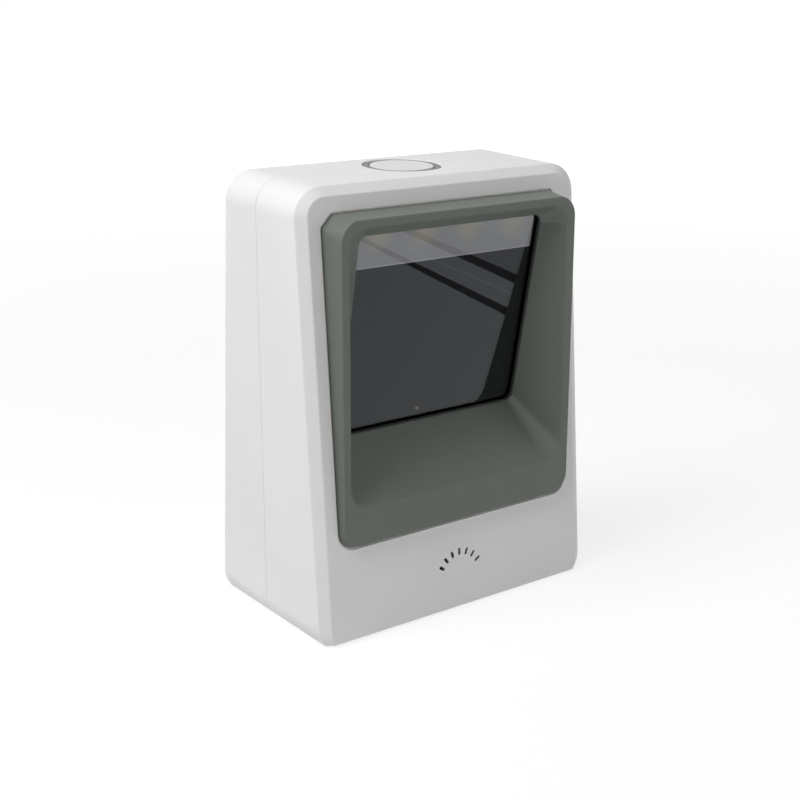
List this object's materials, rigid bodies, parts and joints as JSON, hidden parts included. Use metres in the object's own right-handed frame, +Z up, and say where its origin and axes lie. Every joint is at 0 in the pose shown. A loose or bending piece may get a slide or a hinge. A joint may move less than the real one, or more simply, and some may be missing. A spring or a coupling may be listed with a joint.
{
  "type": "presentation barcode scanner",
  "caption": "Upright desktop presentation barcode scanner: leaning two-part housing, deep window surround with smoked pane, lit-ring push button on top and a sunburst of speaker slots.",
  "frame": {"origin": "on the desk, under the middle of the housing", "axes": "+Z up, +X to the right seen from the front, the scan window faces -Y"},
  "size_m": [0.1152, 0.0702, 0.1506],
  "materials": {
    "white_shell": "fine spark-eroded texture, satin white",
    "grey_surround": "fine texture, muted grey-green",
    "smoked_window": "polished smoked acrylic",
    "window_seal": "matt black",
    "ring_diffuser": "translucent diffuser, unlit",
    "milky_diffuser": "milky translucent acrylic",
    "black_plastic": "matt black, inside",
    "rubber_feet": "matt",
    "circuit_board": "solder mask",
    "chip_body": "moulded",
    "bright_steel": "zinc plated",
    "tin_can": "tinned",
    "lens": "coated",
    "lamp": "phosphor yellow",
    "paper_cone": "coated paper",
    "lead_jacket": "flexible jacket",
    "label_film": "blank silver film",
    "black_board": "black solder mask"
  },
  "bodies": {
    "housing": {"ballast_plate": "bright_steel", "blank_label": "label_film", "board_screw_1": "bright_steel", "board_screw_2": "bright_steel", "board_screw_3": "bright_steel", "board_screw_4": "bright_steel", "button_board": "circuit_board", "button_cup": "black_plastic", "button_lead": "lead_jacket", "cable_socket": "black_plastic", "camera_board": "circuit_board", "camera_lens": "lens", "case_screw_1": "bright_steel", "case_screw_2": "bright_steel", "case_screw_3": "bright_steel", "case_screw_4": "bright_steel", "front_shell": "white_shell", "image_sensor": "chip_body", "led_board": "black_board", "lens_barrel": "black_plastic", "lens_holder": "black_plastic", "light_diffuser": "milky_diffuser", "light_hood": "black_plastic", "light_ring": "ring_diffuser", "main_board": "circuit_board", "memory_chip": "chip_body", "power_coil": "chip_body", "presence_sensor": "lamp", "processor_shield": "tin_can", "rear_shell": "white_shell", "return_spring": "bright_steel", "ribbon_connector": "label_film", "ring_led_1": "lamp", "ring_led_2": "lamp", "ring_led_3": "lamp", "rubber_foot_1": "rubber_feet", "rubber_foot_2": "rubber_feet", "rubber_foot_3": "rubber_feet", "rubber_foot_4": "rubber_feet", "scan_led_1": "lamp", "scan_led_2": "lamp", "scan_led_3": "lamp", "scan_led_4": "lamp", "scan_window": "smoked_window", "sensor_board": "black_board", "speaker_basket": "bright_steel", "speaker_cone": "paper_cone", "speaker_gasket": "window_seal", "speaker_lead": "lead_jacket", "speaker_magnet": "bright_steel", "switch_body": "chip_body", "window_gasket": "window_seal", "window_surround": "grey_surround"},
    "button": {"button_cap": "white_shell", "switch_plunger": "black_plastic"}
  },
  "joints": [
    {"name": "button_press", "type": "slide", "parent": "housing", "child": "button", "axis": [0, 0.04, -0.9992], "range_m": [0, 0.0008], "stiffness_N_per_m": 1500, "springref_m": -0.0004, "deforming": ["return_spring"]}
  ]
}
